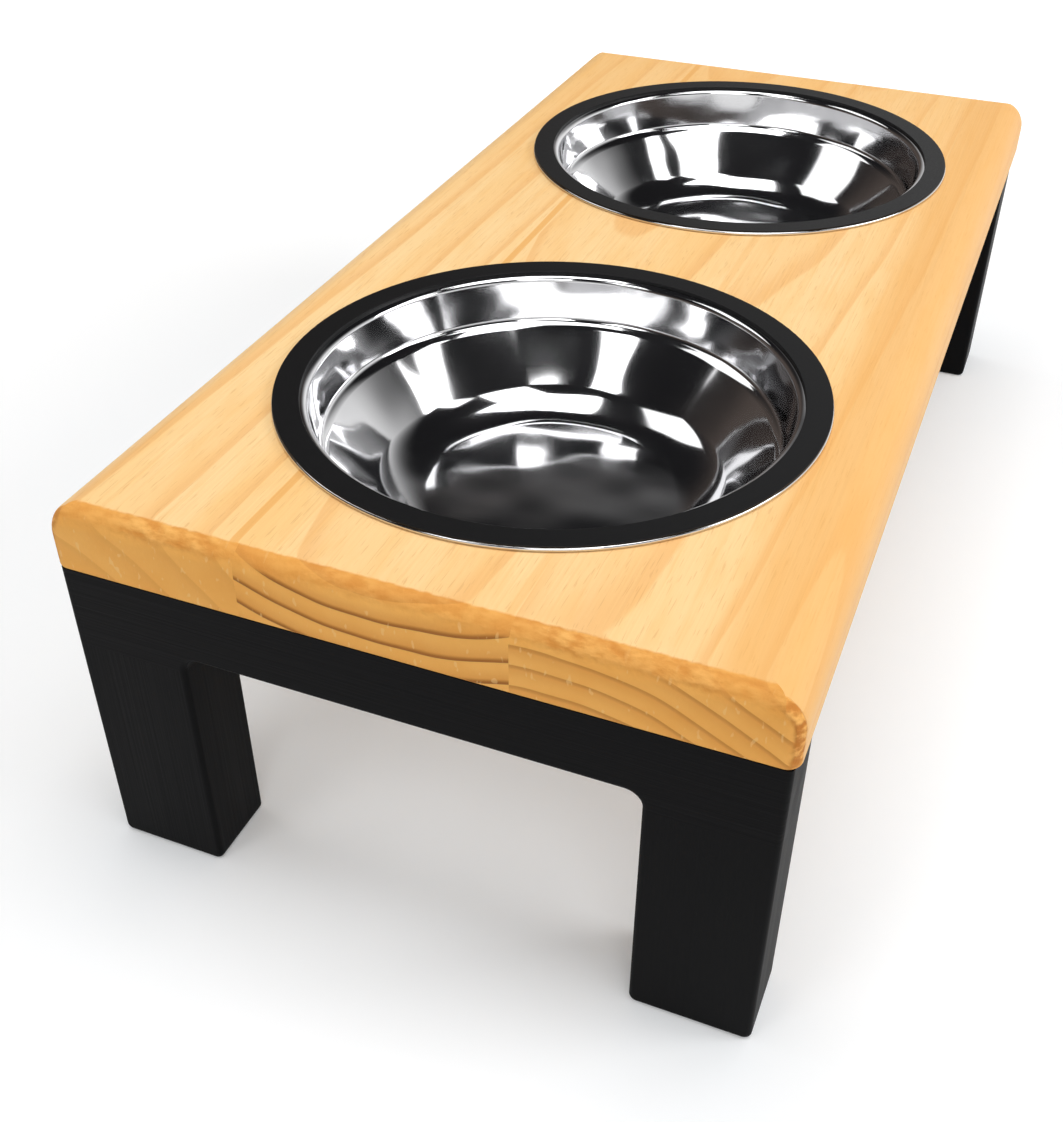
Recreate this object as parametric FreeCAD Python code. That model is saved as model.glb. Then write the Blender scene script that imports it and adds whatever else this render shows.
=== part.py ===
import FreeCAD, Part
import math
import os

# Elevated double pet feeder: a pine top glued up from staves stands on two
# black painted end frames, and two drawn steel bowls with a black ring on the
# rim lift out of round holes in the top.
# Millimetres. X runs along the top, +Z is up, left is -X and front is -Y.
# The origin is on the floor, under the middle of the top.

# Bowls, drawn from steel sheet with a rolled edge
rim_radius = 100.5
rim_width = 12.5
sheet = 0.8
bowl_depth = 45.0
bead_radius = 0.75
bead_lift = 0.1
bend_radius = 2.5
band_depth = 17.0
band_draw = 3.0
step_width = 2.5
step_drop = 1.5
crease_radius = 2.0
wall_draw = 24.0
floor_bend = 26.0

# Black ring that lies on the rim and laps over its rolled edge
ring_gap = 0.1
ring_inner_height = 1.2
ring_cover = 0.5
ring_reveal = 0.4
ring_edge_radius = 0.2

# Top, sized round the two bowls
side_margin = 24.5
end_margin = 30.0
bowl_gap = 48.0
top_thickness = 26.0
side_round = 13.0
end_round = 8.0
bottom_ease = 1.5
corner_radius = 5.0
rear_joint = 54.0
front_joint = 38.0
hole_clearance = 0.5
hole_ease = 1.0

# End frames, each a rail across the tops of two legs
frame_height = 127.0
frame_depth = 30.0
end_inset = 0.5
side_inset = 1.5
rail_height = 26.5
leg_width = 43.0
inside_radius = 6.0
edge_round = 2.0
foot_extra = 1.0

# Dowels between rail and leg
dowel_radius = 4.0
dowel_length = 30.0
dowel_chamfer = 1.0
dowel_clearance = 0.1
dowel_end_gap = 1.0

# Screws up through each rail into the top
screw_count = 3
screw_from_leg = 18.0
screw_radius = 2.25
screw_tip = 5.0
screw_cover = 9.0
screw_clearance = 0.1
pilot_end_gap = 0.8
head_radius = 4.25
head_height = 2.6
head_round = 0.9
head_recess = 8.0
head_clearance = 0.75
slot_width = 1.0
slot_length = 4.6
slot_depth = 1.5

# Places that follow from the sizes above
bowl_x = rim_radius + bowl_gap / 2
top_length = 2 * (bowl_x + rim_radius + end_margin)
top_width = 2 * (rim_radius + side_margin)
top_z = frame_height + top_thickness
lip_radius = rim_radius - rim_width
hole_radius = lip_radius + bend_radius + hole_clearance
frame_x = top_length / 2 - end_inset - frame_depth / 2
frame_half_width = top_width / 2 - side_inset
leg_y = frame_half_width - leg_width / 2
leg_gap = 2 * (frame_half_width - leg_width)
rail_under_z = frame_height - rail_height
joint_z = rail_under_z - inside_radius
seat_z = rail_under_z + head_recess
screw_top_z = top_z - screw_cover
up = FreeCAD.Vector(0, 0, 1)


def vector(x, y, z):
    return FreeCAD.Vector(x, y, z)


def in_xz(a, b):
    return vector(a, 0, b)


def in_yz(a, b):
    return vector(0, a, b)


def outline(corners, place):
    """Closed face through (a, b, radius) corners, each rounded by its radius."""
    ends = []
    for i, (a, b, radius) in enumerate(corners):
        here = place(a, b)
        before = (place(*corners[i - 1][:2]) - here).normalize()
        after = (place(*corners[(i + 1) % len(corners)][:2]) - here).normalize()
        if radius == 0:
            ends.append((here, here, None))
            continue
        half_angle = before.getAngle(after) / 2
        reach = radius / math.tan(half_angle)
        middle = (before + after).normalize()
        crown = here + middle * (radius / math.sin(half_angle) - radius)
        ends.append((here + before * reach, here + after * reach, crown))
    edges = []
    for i, (start, finish, crown) in enumerate(ends):
        if crown:
            edges.append(Part.Arc(start, crown, finish).toShape())
        following = ends[(i + 1) % len(ends)][0]
        edges.append(Part.LineSegment(finish, following).toShape())
    return Part.Face(Part.Wire(edges))


def slab(x_range, y_range, z_range):
    """Plain block between two places on each axis."""
    low = vector(x_range[0], y_range[0], z_range[0])
    high = vector(x_range[1], y_range[1], z_range[1])
    size = high - low
    return Part.makeBox(size.x, size.y, size.z, low)


def rod(radius, x, y, low_z, high_z):
    return Part.makeCylinder(radius, high_z - low_z, vector(x, y, low_z), up)


def turn_angle(path, i):
    """Signed turn of a path at its corner i, positive to the left."""
    before = path[i] - path[i - 1]
    after = path[i + 1] - path[i]
    across = before.x * after.z - before.z * after.x
    along = before.x * after.x + before.z * after.z
    return math.atan2(across, along)


def sheet_corners(path, radii, thickness):
    """Corners of a sheet's section: its inside path, then its outside path back.

    Each bend is limited to a share of the shorter side next to it."""
    side_share = 0.45
    inside = []
    outside = []
    last = len(path) - 1
    for i, point in enumerate(path):
        sides = [path[k + 1] - path[k] for k in (i - 1, i) if 0 <= k < last]
        normals = [vector(s.z, 0, -s.x).normalize() for s in sides]
        total = normals[0] + normals[-1]
        shift = total * (2 * thickness / total.dot(total))
        radius = 0
        outer_radius = 0
        if 0 < i < last:
            turn = turn_angle(path, i)
            shorter_side = min(s.Length for s in sides)
            radius = min(radii[i - 1], side_share * shorter_side / math.tan(abs(turn) / 2))
            outer_radius = radius + math.copysign(thickness, turn)
        inside.append((point.x, point.z, radius))
        outside.append((point.x + shift.x, point.z + shift.z, max(outer_radius, 0)))
    return inside + outside[::-1]


def turned(corners):
    """Solid of revolution about Z."""
    return outline(corners, in_xz).revolve(vector(0, 0, 0), up, 360)


def bowl():
    """Steel bowl: flat floor, drawn wall, small step, steep band, flange and rolled edge."""
    band_foot = lip_radius - band_draw
    step_foot = band_foot - step_width
    floor_radius = step_foot - wall_draw
    bead_ring = rim_radius - bead_radius
    path = [
        in_xz(0, -bowl_depth),
        in_xz(floor_radius, -bowl_depth),
        in_xz(step_foot, -band_depth - step_drop),
        in_xz(band_foot, -band_depth),
        in_xz(lip_radius, sheet),
        in_xz(bead_ring, sheet),
    ]
    radii = [floor_bend, crease_radius, crease_radius, bend_radius]
    shell = turned(sheet_corners(path, radii, sheet))
    bead = Part.makeTorus(bead_ring, bead_radius, vector(0, 0, bead_lift + bead_radius), up)
    return shell.fuse(bead).removeSplitter()


def rim_ring():
    """Black ring lying on the flange, with a lap that stops short of the rolled edge's outside."""
    inner = lip_radius + bend_radius + ring_gap
    lap_start = rim_radius - 2 * bead_radius - ring_gap
    outer = rim_radius - ring_reveal
    lap_under_z = bead_lift + 2 * bead_radius + ring_gap
    return turned([
        (inner, sheet, 0),
        (lap_start, sheet, 0),
        (lap_start, lap_under_z, 0),
        (outer, lap_under_z, 0),
        (outer, lap_under_z + ring_cover, ring_edge_radius),
        (inner, sheet + ring_inner_height, ring_edge_radius),
    ])


def top_section(width, top_round, place):
    """Section of the top: square below, rounded above."""
    return outline([
        (-width / 2, frame_height, 0),
        (width / 2, frame_height, 0),
        (width / 2, top_z, top_round),
        (-width / 2, top_z, top_round),
    ], place)


def rounded_board():
    """Top without holes: its sides rounded, then its ends all round, its underside and its end arrises."""
    lengthwise = top_section(top_width, side_round, in_yz)
    lengthwise.translate(vector(-top_length / 2, 0, 0))
    board = lengthwise.extrude(vector(top_length, 0, 0))
    end_edges = []
    for edge in board.Edges:
        box = edge.BoundBox
        is_on_end = box.XLength < corner_radius / 2
        is_on_bottom = box.ZMax < frame_height + corner_radius / 2
        if is_on_end and not is_on_bottom:
            end_edges.append(edge)
    board = board.makeFillet(corner_radius, end_edges)
    bottom_edges = [edge for edge in board.Edges if edge.BoundBox.ZMax < frame_height + bottom_ease / 2]
    board = board.makeFillet(bottom_ease, bottom_edges)
    crosswise = top_section(top_length, end_round, in_xz)
    crosswise.translate(vector(0, -top_width / 2, 0))
    return board.common(crosswise.extrude(vector(0, top_width, 0)))


def screw_places():
    """(x, y) of every screw, evenly spread between the legs of each frame."""
    reach = leg_gap / 2 - screw_from_leg
    step = 2 * reach / (screw_count - 1)
    offsets = [step * i - reach for i in range(screw_count)]
    return {side: [(side * frame_x, y) for y in offsets] for side in (-1, 1)}


def top_board():
    """Whole top before it is divided into staves: rounded, holed and drilled."""
    board = rounded_board()
    for x in (-bowl_x, bowl_x):
        ease_z = top_z - hole_ease
        ease = Part.makeCone(hole_radius, hole_radius + hole_ease, hole_ease, vector(x, 0, ease_z), up)
        board = board.cut(rod(hole_radius, x, 0, frame_height, top_z).fuse(ease))
    for places in screw_places().values():
        for x, y in places:
            board = board.cut(rod(screw_radius + screw_clearance, x, y, frame_height, screw_top_z + pilot_end_gap))
    return board


def staves():
    """The three staves: the holes part the middle one into three pieces."""
    board = top_board()
    end = top_length / 2
    edge = top_width / 2
    height = (frame_height, top_z)
    whole = (-end, end)
    middle = (-front_joint, rear_joint)
    blocks = {
        "top_stave_front": slab(whole, (-edge, -front_joint), height),
        "top_stave_middle_left": slab((-end, -bowl_x), middle, height),
        "top_stave_middle_centre": slab((-bowl_x, bowl_x), middle, height),
        "top_stave_middle_right": slab((bowl_x, end), middle, height),
        "top_stave_rear": slab(whole, (rear_joint, edge), height),
    }
    return {name: board.common(block) for name, block in blocks.items()}


def end_frame(x):
    """Rail and legs of one frame in one piece, with its edges rounded."""
    foot_radius = edge_round + foot_extra
    outer = frame_half_width
    inner = leg_gap / 2
    face = outline([
        (-outer, 0, foot_radius),
        (-inner, 0, foot_radius),
        (-inner, rail_under_z, inside_radius),
        (inner, rail_under_z, inside_radius),
        (inner, 0, foot_radius),
        (outer, 0, foot_radius),
        (outer, frame_height, 0),
        (-outer, frame_height, 0),
    ], in_yz)
    face.translate(vector(x - frame_depth / 2, 0, 0))
    frame = face.extrude(vector(frame_depth, 0, 0))
    rounded = []
    for edge in frame.Edges:
        box = edge.BoundBox
        is_on_face = box.XLength < edge_round / 2
        is_on_top = box.ZMin > frame_height - edge_round / 2
        if is_on_face and not is_on_top:
            rounded.append(edge)
    return frame.makeFillet(edge_round, rounded)


def dowel_places(x):
    """(x, y) of a frame's dowels, two in each leg."""
    return [(x, leg + share) for leg in (-leg_y, leg_y) for share in (-leg_width / 4, leg_width / 4)]


def dowel(x, y):
    """Straight wooden dowel, half in the leg and half in the rail."""
    pin = rod(dowel_radius, x, y, joint_z - dowel_length / 2, joint_z + dowel_length / 2)
    rims = [edge for edge in pin.Edges if edge.BoundBox.ZLength < dowel_chamfer / 2]
    return pin.makeChamfer(dowel_chamfer, rims)


def screw(x, y):
    """Pan head wood screw, its head up against the seat in the rail's recess."""
    shank = rod(screw_radius, x, y, seat_z, screw_top_z - screw_tip)
    tip = Part.makeCone(screw_radius, 0, screw_tip, vector(x, y, screw_top_z - screw_tip), up)
    under_z = seat_z - head_height
    head = rod(head_radius, x, y, under_z, seat_z)
    rims = [edge for edge in head.Edges if edge.BoundBox.ZMax < under_z + head_round / 2]
    head = head.makeFillet(head_round, rims)
    half_length = slot_length / 2
    half_width = slot_width / 2
    depth = (under_z, under_z + slot_depth)
    for across, along in ((half_length, half_width), (half_width, half_length)):
        head = head.cut(slab((x - across, x + across), (y - along, y + along), depth))
    return head.fuse([shank, tip]).removeSplitter()


def frame_nodes(side, name):
    """Rail, two legs, dowels and screws of the frame at one end."""
    x = side * frame_x
    frame = end_frame(x)
    dowel_hole = dowel_radius + dowel_clearance
    dowel_reach = dowel_length / 2 + dowel_end_gap
    for px, py in dowel_places(x):
        frame = frame.cut(rod(dowel_hole, px, py, joint_z - dowel_reach, joint_z + dowel_reach))
    for px, py in screw_places()[side]:
        frame = frame.cut(rod(head_radius + head_clearance, px, py, rail_under_z, seat_z))
        frame = frame.cut(rod(screw_radius + screw_clearance, px, py, seat_z, frame_height))
    ends = (x - frame_depth / 2, x + frame_depth / 2)
    outer = frame_half_width
    return {
        name + "_rail": frame.common(slab(ends, (-outer, outer), (joint_z, frame_height))),
        name + "_leg_front": frame.common(slab(ends, (-outer, 0), (0, joint_z))),
        name + "_leg_rear": frame.common(slab(ends, (0, outer), (0, joint_z))),
        name + "_dowels": Part.makeCompound([dowel(*place) for place in dowel_places(x)]),
        name + "_screws": Part.makeCompound([screw(*place) for place in screw_places()[side]]),
    }


def bowl_nodes(side, name):
    """Bowl and its ring, seated on the top."""
    place = vector(side * bowl_x, 0, top_z)
    return {
        name + "_bowl": bowl().translated(place),
        name + "_rim_ring": rim_ring().translated(place),
    }


nodes = staves()
for side, name in ((-1, "left"), (1, "right")):
    nodes.update(frame_nodes(side, name))
    nodes.update(bowl_nodes(side, name))

os.makedirs("parts", exist_ok=True)
for node, shape in nodes.items():
    shape.exportStep("parts/" + node + ".step")
    print(node, "solids", len(shape.Solids), "valid", shape.isValid(), "volume", round(shape.Volume))
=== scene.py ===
import math

import bpy
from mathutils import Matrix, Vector


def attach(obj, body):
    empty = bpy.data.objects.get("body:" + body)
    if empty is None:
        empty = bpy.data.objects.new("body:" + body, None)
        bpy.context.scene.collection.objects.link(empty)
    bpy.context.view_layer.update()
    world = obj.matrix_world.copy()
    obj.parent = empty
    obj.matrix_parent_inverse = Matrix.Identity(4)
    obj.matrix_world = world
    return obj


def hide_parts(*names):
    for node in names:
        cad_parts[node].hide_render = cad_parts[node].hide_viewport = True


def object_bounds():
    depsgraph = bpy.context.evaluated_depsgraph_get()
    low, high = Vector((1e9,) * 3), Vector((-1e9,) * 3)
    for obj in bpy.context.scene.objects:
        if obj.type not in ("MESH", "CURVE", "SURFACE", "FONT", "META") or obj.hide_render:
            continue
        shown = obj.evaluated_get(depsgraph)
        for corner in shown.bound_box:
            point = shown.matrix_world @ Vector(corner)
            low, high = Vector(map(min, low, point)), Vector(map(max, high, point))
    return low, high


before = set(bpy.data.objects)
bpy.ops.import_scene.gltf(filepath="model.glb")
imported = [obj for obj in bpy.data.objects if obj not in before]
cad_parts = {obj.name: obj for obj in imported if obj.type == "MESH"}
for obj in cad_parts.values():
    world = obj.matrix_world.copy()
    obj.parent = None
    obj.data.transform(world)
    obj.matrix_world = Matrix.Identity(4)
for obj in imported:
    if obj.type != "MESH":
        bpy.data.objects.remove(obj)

# Box of the part as it was made.
cad_low, cad_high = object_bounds()


# End frames
# Each end stands on an inverted U of pine: a rail laid over two legs, sanded round at its edges.
# Thin satin black paint leaves the grain showing as low ridges, along the rail and up the legs.
paint_relief = 0.00012


def tint(red, green, blue):
    """Linear colour of a display colour from 0 to 255."""
    shares = [value / 255 for value in (red, green, blue)]
    return tuple(((share + 0.055) / 1.055) ** 2.4 for share in shares) + (1.0,)


def plug(tree, socket, value):
    """Links a socket to an input, or sets a plain value on it."""
    if isinstance(value, bpy.types.NodeSocket):
        tree.links.new(value, socket)
    else:
        socket.default_value = value


def calc(tree, operation, *values):
    """Result of a math node."""
    node = tree.nodes.new("ShaderNodeMath")
    node.operation = operation
    for socket, value in zip(node.inputs, values):
        plug(tree, socket, value)
    return node.outputs[0]


def ease(tree, value, start, finish):
    """Smooth step of a value, 0 at start and 1 at finish."""
    node = tree.nodes.new("ShaderNodeMapRange")
    node.interpolation_type = "SMOOTHSTEP"
    plug(tree, node.inputs["Value"], value)
    node.inputs["From Min"].default_value = start
    node.inputs["From Max"].default_value = finish
    return node.outputs["Result"]


def cloud(tree, vector, cells, detail):
    """Noise from 0 to 1, with its cells per metre given for each axis."""
    scaled = tree.nodes.new("ShaderNodeVectorMath")
    scaled.operation = "MULTIPLY"
    plug(tree, scaled.inputs[0], vector)
    scaled.inputs[1].default_value = cells
    node = tree.nodes.new("ShaderNodeTexNoise")
    plug(tree, node.inputs["Vector"], scaled.outputs[0])
    node.inputs["Scale"].default_value = 1.0
    node.inputs["Detail"].default_value = detail
    return node.outputs["Fac"]


def mixed(tree, factor, first, second):
    """Colour between two colours."""
    node = tree.nodes.new("ShaderNodeMix")
    node.data_type = "RGBA"
    plug(tree, node.inputs["Factor"], factor)
    plug(tree, node.inputs["A"], first)
    plug(tree, node.inputs["B"], second)
    return node.outputs["Result"]


def bumped(tree, height, depth):
    """Normal of a surface whose height, from 0 to 1, stands for a depth in metres."""
    node = tree.nodes.new("ShaderNodeBump")
    node.inputs["Strength"].default_value = 1.0
    node.inputs["Distance"].default_value = depth
    plug(tree, node.inputs["Height"], height)
    return node.outputs["Normal"]


def own_place(tree, turn=(0, 0, 0)):
    """Object coordinates, turned by degrees about each axis."""
    place = tree.nodes.new("ShaderNodeTexCoord").outputs["Object"]
    node = tree.nodes.new("ShaderNodeMapping")
    plug(tree, node.inputs["Vector"], place)
    node.inputs["Rotation"].default_value = [math.radians(angle) for angle in turn]
    return node.outputs["Vector"]


def new_finish(name):
    """New material, with its tree and its shader."""
    material = bpy.data.materials.new(name)
    material.use_nodes = True
    tree = material.node_tree
    return material, tree, tree.nodes["Principled BSDF"]


def dress(node, material):
    """Puts a material on a piece that keeps its shape."""
    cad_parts[node].material_slots[0].material = material


def new_group(name, inputs, outputs):
    """Shader node group with named inputs and outputs, and the sockets of its two end nodes."""
    group = bpy.data.node_groups.new(name, "ShaderNodeTree")
    for label, kind in inputs.items():
        group.interface.new_socket(name=label, in_out="INPUT", socket_type=kind)
    for label, kind in outputs.items():
        group.interface.new_socket(name=label, in_out="OUTPUT", socket_type=kind)
    entry = group.nodes.new("NodeGroupInput")
    leave = group.nodes.new("NodeGroupOutput")
    return group, entry.outputs, leave.inputs


def use_group(tree, group, values):
    """Places a group in a material with its own values."""
    node = tree.nodes.new("ShaderNodeGroup")
    node.node_tree = group
    for label, value in values.items():
        plug(tree, node.inputs[label], value)
    return node.outputs


# Fibres of softwood that run along X: fine lines, wider streaks and short dark ducts.
wood_fibres, entry, leave = new_group(
    "wood_fibres",
    {"Vector": "NodeSocketVector"},
    {"Fibre": "NodeSocketFloat", "Streak": "NodeSocketFloat", "Duct": "NodeSocketFloat"},
)
plug(wood_fibres, leave["Fibre"], cloud(wood_fibres, entry["Vector"], (14, 900, 900), 3))
plug(wood_fibres, leave["Streak"], cloud(wood_fibres, entry["Vector"], (2, 60, 60), 3))
duct = cloud(wood_fibres, entry["Vector"], (130, 2200, 2200), 0)
plug(wood_fibres, leave["Duct"], ease(wood_fibres, duct, 0.70, 0.76))


def black_paint(name, turn):
    """Satin black paint over grain that runs along X once it is turned."""
    material, tree, shader = new_finish(name)
    grain = use_group(tree, wood_fibres, {"Vector": own_place(tree, turn)})
    colour = mixed(tree, grain["Streak"], tint(9, 9, 10), tint(20, 20, 21))
    plug(tree, shader.inputs["Base Color"], colour)
    plug(tree, shader.inputs["Roughness"], calc(tree, "MULTIPLY_ADD", grain["Streak"], 0.3, 0.35))
    shader.inputs["Specular IOR Level"].default_value = 0.05
    relief = calc(tree, "MULTIPLY_ADD", grain["Streak"], 4.0, grain["Fibre"])
    plug(tree, shader.inputs["Normal"], bumped(tree, relief, paint_relief))
    return material


rail_paint = black_paint("rail_paint", (0, 0, -90))
leg_paint = black_paint("leg_paint", (0, 90, 0))
for side in ("left", "right"):
    dress(side + "_rail", rail_paint)
    dress(side + "_leg_front", leg_paint)
    dress(side + "_leg_rear", leg_paint)


# Dowels
# Bare beech pins, glued half into the leg and half into the rail and hidden inside each frame.
# Their grain runs along the pin, so it stands upright.
dowel_wood, tree, shader = new_finish("dowel_wood")
grain = use_group(tree, wood_fibres, {"Vector": own_place(tree, (0, 90, 0))})
plug(tree, shader.inputs["Base Color"], mixed(tree, grain["Fibre"], tint(214, 180, 136), tint(190, 150, 105)))
plug(tree, shader.inputs["Roughness"], calc(tree, "MULTIPLY_ADD", grain["Fibre"], 0.2, 0.6))
for side in ("left", "right"):
    dress(side + "_dowels", dowel_wood)


# Screws
# Steel wood screws with pan heads that hold the top from below, each in a drilled recess of the rail.
# They are zinc plated, which leaves the colour slightly patchy.
screw_zinc, tree, shader = new_finish("screw_zinc")
patch = cloud(tree, own_place(tree), (400, 400, 400), 2)
plug(tree, shader.inputs["Base Color"], mixed(tree, patch, tint(196, 194, 186), tint(168, 164, 150)))
plug(tree, shader.inputs["Roughness"], calc(tree, "MULTIPLY_ADD", patch, 0.2, 0.25))
shader.inputs["Metallic"].default_value = 1.0
for side in ("left", "right"):
    dress(side + "_screws", screw_zinc)


# Top
# Three pine staves glued edge to edge, rounded over and cut for the bowls, under clear satin lacquer.
# Each stave has its own growth rings, which show as arcs on the ends and as long lines on top.
top_end = cad_high[0]
torn_reach = 0.023
torn_full = 0.015
ring_wander = 0.008
zone_wander = 0.004
pine_relief = 0.0002


def parts_of(tree, vector):
    """X, Y and Z of a vector."""
    node = tree.nodes.new("ShaderNodeSeparateXYZ")
    plug(tree, node.inputs[0], vector)
    return node.outputs


def overlaid(tree, base, mask, strength, colour):
    """Base colour with another laid over it where a mask is, as strongly as given."""
    return mixed(tree, calc(tree, "MULTIPLY", mask, strength), base, colour)


# Growth rings about a heart that drifts along X: their summer wood, and the dark line that ends each.
pine_rings, entry, leave = new_group(
    "pine_rings",
    {
        "Vector": "NodeSocketVector",
        "Heart Y": "NodeSocketFloat",
        "Heart Z": "NodeSocketFloat",
        "Drift Y": "NodeSocketFloat",
        "Drift Z": "NodeSocketFloat",
        "Ring Width": "NodeSocketFloat",
    },
    {"Summer": "NodeSocketFloat", "Line": "NodeSocketFloat"},
)
axes = parts_of(pine_rings, entry["Vector"])
heart_y = calc(pine_rings, "MULTIPLY_ADD", axes["X"], entry["Drift Y"], entry["Heart Y"])
heart_z = calc(pine_rings, "MULTIPLY_ADD", axes["X"], entry["Drift Z"], entry["Heart Z"])
away_y = calc(pine_rings, "SUBTRACT", axes["Y"], heart_y)
away_z = calc(pine_rings, "SUBTRACT", axes["Z"], heart_z)
square = calc(pine_rings, "MULTIPLY_ADD", away_y, away_y, calc(pine_rings, "MULTIPLY", away_z, away_z))
wander = cloud(pine_rings, entry["Vector"], (4, 16, 16), 2)
radius = calc(pine_rings, "MULTIPLY_ADD", wander, ring_wander, calc(pine_rings, "SQRT", square))
ring = calc(pine_rings, "FRACT", calc(pine_rings, "DIVIDE", radius, entry["Ring Width"]))
stop = ease(pine_rings, ring, 1.0, 0.965)
plug(pine_rings, leave["Summer"], calc(pine_rings, "MULTIPLY", ease(pine_rings, ring, 0.2, 0.95), stop))
plug(pine_rings, leave["Line"], calc(pine_rings, "MULTIPLY", ease(pine_rings, ring, 0.74, 0.93), stop))


def end_masks(tree, place, rings, tear):
    """Masks of the end grain, its ring lines and their grooves, and of the torn edge at the top's ends."""
    facing = parts_of(tree, tree.nodes.new("ShaderNodeTexCoord").outputs["Normal"])
    endways = calc(tree, "ABSOLUTE", facing["X"])
    ragged = calc(tree, "MULTIPLY_ADD", cloud(tree, place, (300, 300, 300), 3), 0.16, endways)
    end_grain = ease(tree, ragged, 0.3, 0.42)
    rounded = calc(tree, "MULTIPLY", end_grain, ease(tree, ragged, 1.06, 0.9))
    flat = calc(tree, "SUBTRACT", end_grain, calc(tree, "MULTIPLY", rounded, 0.75))
    arcs = calc(tree, "MULTIPLY", flat, rings["Line"])
    from_middle = calc(tree, "ABSOLUTE", parts_of(tree, place)["X"])
    edge = calc(tree, "MULTIPLY", rounded, ease(tree, from_middle, top_end - torn_reach, top_end - torn_full))
    patchy = ease(tree, cloud(tree, place, (20, 32, 20), 1), 0.36, 0.6)
    torn = calc(tree, "MULTIPLY", edge, calc(tree, "MULTIPLY_ADD", patchy, 0.6 * tear, 0.4 * tear))
    sideways = calc(tree, "ABSOLUTE", facing["Y"])
    return {
        "end grain": end_grain,
        "arcs": arcs,
        "grooves": calc(tree, "MULTIPLY", flat, arcs),
        "edge": edge,
        "torn": torn,
        "corner": calc(tree, "MULTIPLY", torn, ease(tree, sideways, 0.15, 0.45)),
        "fuzz": cloud(tree, place, (380, 170, 380), 4),
    }


def long_grain_wood(tree, place, grain, rings, zone):
    """Colour along the grain: rings drawn out into lines, dark ducts, one deeper zone, and painted shade
    towards the far end.
    """
    spot = parts_of(tree, place)
    wood = mixed(tree, grain["Streak"], tint(255, 222, 168), tint(252, 206, 140))
    honey = ease(tree, cloud(tree, place, (1.5, 16, 16), 2), 0.45, 0.7)
    wood = overlaid(tree, wood, honey, 0.7, tint(250, 198, 122))
    wood = overlaid(tree, wood, rings["Summer"], 0.25, tint(248, 190, 118))
    wood = overlaid(tree, wood, rings["Line"], 0.3, tint(230, 160, 88))
    mottle = ease(tree, cloud(tree, place, (30, 150, 150), 4), 0.42, 0.7)
    wood = overlaid(tree, wood, mottle, 0.3, tint(246, 190, 116))
    lines = ease(tree, grain["Fibre"], 0.5, 0.75)
    wood = overlaid(tree, wood, lines, 0.25, tint(238, 178, 104))
    wood = overlaid(tree, wood, grain["Duct"], 0.22, tint(196, 130, 70))
    # Painted shade: the top's colour deepens towards its far end, where less sheen comes off the lacquer.
    far_end_painted_shade = ease(tree, spot["X"], -0.05, 0.25)
    wood = overlaid(tree, wood, far_end_painted_shade, 0.4, tint(244, 184, 104))
    zone_y, zone_half, zone_edge, zone_strength = zone
    waver = calc(tree, "MULTIPLY_ADD", cloud(tree, place, (5, 9, 9), 2), zone_wander, spot["Y"])
    off_zone = calc(tree, "ABSOLUTE", calc(tree, "SUBTRACT", waver, zone_y))
    deep = ease(tree, off_zone, zone_half + zone_edge, zone_half)
    return overlaid(tree, wood, deep, zone_strength, tint(240, 178, 100))


def end_grain_wood(tree, place, grain, rings, masks, band_depth, line_depth):
    """Colour across the grain: rings as arcs, pale saw marks, and a soaked, torn edge."""
    wood = mixed(tree, grain["Streak"], tint(255, 195, 108), tint(245, 172, 80))
    wood = overlaid(tree, wood, rings["Summer"], band_depth, tint(222, 146, 66))
    wood = overlaid(tree, wood, masks["arcs"], line_depth, tint(140, 80, 32))
    chatter = ease(tree, cloud(tree, place, (60, 500, 240), 1), 0.66, 0.72)
    wood = overlaid(tree, wood, chatter, 0.4, tint(255, 214, 144))
    wood = overlaid(tree, wood, masks["edge"], 0.4, tint(218, 142, 62))
    fibres = mixed(tree, ease(tree, masks["fuzz"], 0.3, 0.72), tint(218, 142, 62), tint(254, 194, 110))
    wood = overlaid(tree, wood, masks["torn"], 0.8, fibres)
    burr = calc(tree, "MULTIPLY", masks["corner"], ease(tree, masks["fuzz"], 0.62, 0.4))
    return overlaid(tree, wood, burr, 0.7, tint(192, 116, 46))


def pine(name, heart, drift, ring_width, band_depth, line_depth, tear, zone):
    """Lacquered pine of one stave, from its heart's place and drift along X.

    Depths from 0 to 1 say how dark the rings' bands and lines are on its ends, and tear how torn
    their rounded edges are. A zone of deeper colour runs along it: its middle and half width in Y,
    its edge and its strength."""
    material, tree, shader = new_finish(name)
    place = own_place(tree)
    grain = use_group(tree, wood_fibres, {"Vector": place})
    rings = use_group(tree, pine_rings, {
        "Vector": place,
        "Heart Y": heart[0],
        "Heart Z": heart[1],
        "Drift Y": drift[0],
        "Drift Z": drift[1],
        "Ring Width": ring_width,
    })
    masks = end_masks(tree, place, rings, tear)
    along = long_grain_wood(tree, place, grain, rings, zone)
    across = end_grain_wood(tree, place, grain, rings, masks, band_depth, line_depth)
    plug(tree, shader.inputs["Base Color"], mixed(tree, masks["end grain"], along, across))
    satin = calc(tree, "MULTIPLY_ADD", grain["Fibre"], 0.12, 0.42)
    plug(tree, shader.inputs["Roughness"], calc(tree, "MULTIPLY_ADD", masks["end grain"], 0.15, satin))
    shader.inputs["Specular IOR Level"].default_value = 0.14
    ridge = calc(tree, "MULTIPLY_ADD", masks["grooves"], 2 * line_depth, grain["Fibre"])
    tufts = calc(tree, "MULTIPLY", masks["torn"], masks["fuzz"])
    relief = calc(tree, "MULTIPLY_ADD", tufts, 4.0, ridge)
    plug(tree, shader.inputs["Normal"], bumped(tree, relief, pine_relief))
    return material


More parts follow.
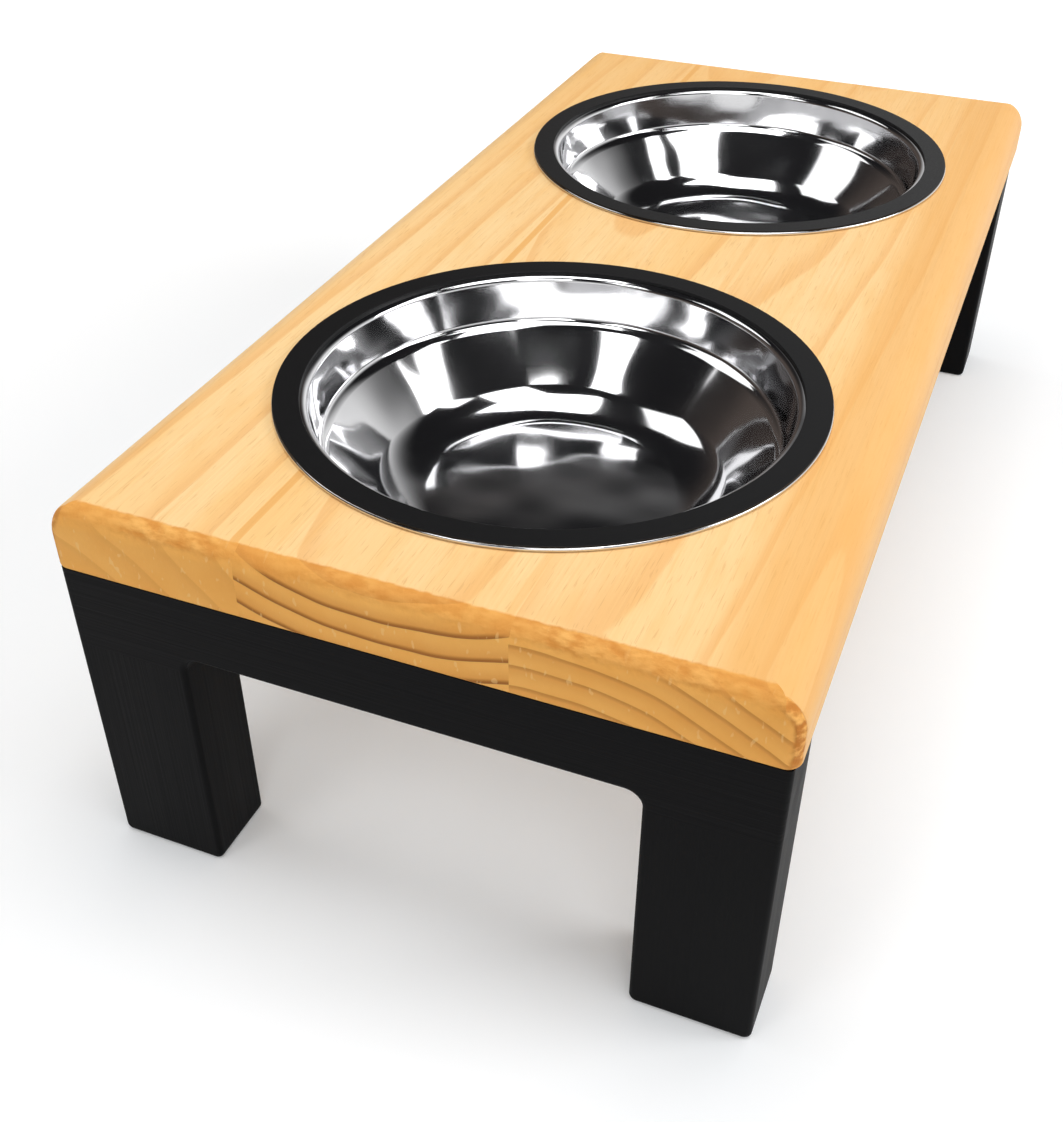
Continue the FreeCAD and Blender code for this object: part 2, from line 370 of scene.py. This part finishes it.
front_pine = pine(
    "front_pine", heart=(-0.0436, 0.038), drift=(0.02, 0.03), ring_width=0.0075,
    band_depth=0.5, line_depth=0.3, tear=1.0, zone=(-0.115, 0.014, 0.012, 0.6))
middle_pine = pine(
    "middle_pine", heart=(0.015, 0.252), drift=(0.04, -0.05), ring_width=0.0085,
    band_depth=0.6, line_depth=0.75, tear=0.45, zone=(-0.034, 0.001, 0.001, 0.3))
rear_pine = pine(
    "rear_pine", heart=(0.2, 0.02), drift=(0.03, 0.04), ring_width=0.014,
    band_depth=0.25, line_depth=0.05, tear=0.9, zone=(0.0575, 0.0012, 0.0006, 0.8))
dress("top_stave_front", front_pine)
dress("top_stave_rear", rear_pine)
for stretch in ("left", "centre", "right"):
    dress("top_stave_middle_" + stretch, middle_pine)


# Bowls
# Drawn from stainless steel sheet and polished to a mirror, with a small step below the rim,
# a flange that rests on the top and an edge rolled back over itself.
bowl_x = 0.1245
rim_z = 0.153
bowl_turns = 192
sheet = 0.0008
bead_ring = 0.09975
bead_radius = 0.00075
bead_z = rim_z + 0.00085
bead_turns = 20
polish_ripple = 0.0016

# Section of the sheet as radius and height, from the floor out to the rolled edge.
floor_edge = (0.0585, rim_z - 0.045)
wall_top = (0.0825, rim_z - 0.0185)
step_edge = (0.085, rim_z - 0.017)
mouth_edge = (0.088, rim_z + sheet)
flange_edge = (bead_ring, rim_z + sheet)
section = [floor_edge, wall_top, step_edge, mouth_edge, flange_edge]

# Corners of the section that are bent, each with the reach of its bend and its number of segments.
bends = [(wall_top, 0.0013, 6), (step_edge, 0.0013, 6), (mouth_edge, 0.0021, 8), (floor_edge, 0.011, 16)]


def select_ring(mesh, axis_x, radius, height):
    """Selects the circle of edges at a radius and height about an upright axis."""
    bpy.ops.object.mode_set(mode="OBJECT")
    for part in (mesh.vertices, mesh.edges, mesh.polygons):
        part.foreach_set("select", [False] * len(part))
    for edge in mesh.edges:
        ends = [mesh.vertices[i].co for i in edge.vertices]
        spans = [abs(math.hypot(end.x - axis_x, end.y) - radius) + abs(end.z - height) for end in ends]
        edge.select = max(spans) < 0.0002
    bpy.ops.object.mode_set(mode="EDIT")


def grow_ring(axis_x, from_radius, to_radius, rise):
    """Extrudes the selected circle to a new radius and height."""
    bpy.ops.mesh.extrude_edges_indiv()
    bpy.ops.transform.translate(value=(0, 0, rise))
    scale = to_radius / from_radius
    bpy.ops.transform.resize(value=(scale, scale, 1), center_override=(axis_x, 0, 0))


def bowl(name, axis_x, material):
    """Flat floor, drawn wall, step, steep band and flange, then bent, thickened and rolled."""
    floor_radius, floor_z = floor_edge
    bpy.ops.object.select_all(action="DESELECT")
    bpy.ops.mesh.primitive_circle_add(
        vertices=bowl_turns, radius=floor_radius, fill_type="NGON", location=(axis_x, 0, floor_z))
    shell = bpy.context.object
    shell.name = name
    bpy.ops.object.transform_apply(location=True)
    bpy.ops.object.mode_set(mode="EDIT")
    bpy.ops.mesh.select_mode(type="EDGE")
    select_ring(shell.data, axis_x, floor_radius, floor_z)
    for (radius, height), (next_radius, next_height) in zip(section, section[1:]):
        grow_ring(axis_x, radius, next_radius, next_height - height)
    for (radius, height), reach, segments in bends:
        select_ring(shell.data, axis_x, radius, height)
        bpy.ops.mesh.bevel(offset=reach, segments=segments, profile=0.5)
    bpy.ops.mesh.select_all(action="SELECT")
    bpy.ops.mesh.remove_doubles(threshold=0.00001)
    bpy.ops.mesh.normals_make_consistent(inside=False)
    bpy.ops.object.mode_set(mode="OBJECT")
    wall = shell.modifiers.new("sheet", "SOLIDIFY")
    wall.thickness = sheet
    wall.offset = -1.0
    bpy.ops.object.modifier_apply(modifier="sheet")
    bpy.ops.mesh.primitive_torus_add(
        major_radius=bead_ring, minor_radius=bead_radius, location=(axis_x, 0, bead_z),
        major_segments=bowl_turns, minor_segments=bead_turns)
    bpy.ops.object.transform_apply(location=True)
    shell.select_set(True)
    bpy.context.view_layer.objects.active = shell
    bpy.ops.object.join()
    bpy.ops.object.shade_smooth_by_angle(angle=math.radians(50))
    even = shell.modifiers.new("even", "WEIGHTED_NORMAL")
    even.keep_sharp = True
    bpy.ops.object.modifier_apply(modifier="even")
    shell.data.materials.clear()
    shell.data.materials.append(material)
    return shell


steel, tree, shader = new_finish("polished_steel")
place = own_place(tree)
smear = cloud(tree, place, (30, 30, 30), 3)
plug(tree, shader.inputs["Base Color"], mixed(tree, smear, tint(228, 228, 229), tint(212, 212, 214)))
plug(tree, shader.inputs["Roughness"], calc(tree, "MULTIPLY_ADD", smear, 0.06, 0.05))
shader.inputs["Metallic"].default_value = 1.0
ripple = cloud(tree, place, (24, 24, 24), 1)
plug(tree, shader.inputs["Normal"], bumped(tree, ripple, polish_ripple))
for side, axis_x in (("left", -bowl_x), ("right", bowl_x)):
    shell = bowl(side + "_bowl_shell", axis_x, steel)
    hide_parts(side + "_bowl")
    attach(shell, side + "_bowl")


# Rim rings
# A satin black rubber ring lies on each bowl's flange and laps over its rolled edge.
# It is moulded in one piece and lifts out with the bowl.
rubber, tree, shader = new_finish("black_rubber")
speck = cloud(tree, own_place(tree), (1500, 1500, 1500), 1)
plug(tree, shader.inputs["Base Color"], mixed(tree, speck, tint(17, 17, 18), tint(27, 27, 28)))
plug(tree, shader.inputs["Roughness"], calc(tree, "MULTIPLY_ADD", speck, 0.2, 0.3))
shader.inputs["Specular IOR Level"].default_value = 0.2
for side in ("left", "right"):
    dress(side + "_rim_ring", rubber)


# Floor
# A plain pale sheet that is white to the camera and keeps the soft shadow under the feeder.
# It is a little cooler there, which evens out the light that the wood throws down on it.
floor_size = 16.0
cool_white = (0.88, 0.9, 0.92, 1)
plain_white = (0.9, 0.9, 0.9, 1)
cool_until, plain_from = 0.2, 0.45
glow_from, glow_full = 0.3, 1.5
least_glow = 0.15


def seen_in_mirrors(tree, path):
    """Mask of the rays that polished or clear surfaces send out, from the light path's outputs."""
    return calc(tree, "MAXIMUM", path["Is Glossy Ray"], path["Is Transmission Ray"])


bpy.ops.object.select_all(action="DESELECT")
bpy.ops.mesh.primitive_plane_add(size=floor_size, location=(0, 0, 0))
floor = bpy.context.object
floor.name = "floor"
floor_white, tree, shader = new_finish("floor_white")
shader.inputs["Roughness"].default_value = 0.9
shader.inputs["Specular IOR Level"].default_value = 0.0
shader.inputs["Emission Color"].default_value = (1, 1, 1, 1)
path = tree.nodes.new("ShaderNodeLightPath").outputs
seen = calc(tree, "MAXIMUM", path["Is Camera Ray"], seen_in_mirrors(tree, path))
apart = tree.nodes.new("ShaderNodeVectorMath")
apart.operation = "LENGTH"
plug(tree, apart.inputs[0], own_place(tree))
distance = apart.outputs["Value"]
plain = ease(tree, distance, cool_until, plain_from)
plug(tree, shader.inputs["Base Color"], mixed(tree, plain, cool_white, plain_white))
far = ease(tree, distance, glow_from, glow_full)
glow = calc(tree, "MULTIPLY_ADD", far, 1 - least_glow, least_glow)
plug(tree, shader.inputs["Emission Strength"], calc(tree, "MULTIPLY", seen, glow))
floor.data.materials.append(floor_white)


# Studio light
# Seven soft boxes: one overhead, three over the front side, one over the rear and two at the near end.
# A pale room fills in the shadows, and its dark ceiling and rear wall give the steel its contrast.
top_middle = (0, 0, 0.1)
white = (1, 1, 1, 1)
rear_wall = (0.1, 0.08, 0.07, 1)
dark_ceiling = (0.012, 0.012, 0.013, 1)
fill_grey = (0.22, 0.22, 0.22, 1)


def soft_box(name, place, aim, width, depth, watts):
    """Rectangular lamp at a place, turned towards a point."""
    data = bpy.data.lights.new(name, "AREA")
    data.shape = "RECTANGLE"
    data.size = width
    data.size_y = depth
    data.energy = watts
    lamp = bpy.data.objects.new(name, data)
    bpy.context.scene.collection.objects.link(lamp)
    lamp.location = place
    lamp.rotation_euler = (Vector(aim) - Vector(place)).to_track_quat("-Z", "Y").to_euler()


soft_box("over_lamp", (0.1, 0.0, 3.1), (0.1, 0, 0.1), width=1.6, depth=1.6, watts=31)
soft_box("key_lamp", (-0.4, -0.9, 2.5), top_middle, width=1.0, depth=0.9, watts=9)
soft_box("strip_lamp", (0.4, -1.9, 2.3), top_middle, width=0.5, depth=0.9, watts=3.5)
soft_box("front_lamp", (0.4, -2.3, 1.5), top_middle, width=1.4, depth=0.9, watts=21)
soft_box("rear_lamp", (0.2, 2.0, 2.3), top_middle, width=1.4, depth=1.2, watts=9)
soft_box("rear_end_lamp", (-1.8, 0.8, 2.3), top_middle, width=0.8, depth=1.0, watts=8)
soft_box("front_end_lamp", (-2.2, -1.0, 2.4), (-0.25, 0, 0.1), width=1.2, depth=1.0, watts=16)

world = bpy.data.worlds.new("pale_room")
bpy.context.scene.world = world
world.use_nodes = True
tree = world.node_tree
path = tree.nodes.new("ShaderNodeLightPath").outputs
direction = parts_of(tree, tree.nodes.new("ShaderNodeTexCoord").outputs["Generated"])
walls = mixed(tree, ease(tree, direction["Y"], 0.0, 0.5), white, rear_wall)
room = mixed(tree, ease(tree, direction["Z"], 0.2, 0.65), walls, dark_ceiling)
lit = mixed(tree, seen_in_mirrors(tree, path), fill_grey, room)
plug(tree, tree.nodes["Background"].inputs["Color"], mixed(tree, path["Is Camera Ray"], lit, white))


# Camera
# Stands above the left end of the feeder and looks down along it.
# Its place, turn and lens were fitted so that the part has the photograph's proportions.
camera_data = bpy.data.cameras.new("camera")
camera_data.sensor_width = 36.0
camera_data.lens = 44.15
camera = bpy.data.objects.new("camera", camera_data)
bpy.context.scene.collection.objects.link(camera)
camera.location = (-0.5295, -0.1569, 0.4039)
camera.rotation_euler = [math.radians(angle) for angle in (52.75, -0.08, -67.79)]
bpy.context.scene.camera = camera
bpy.context.scene.view_settings.view_transform = "Standard"
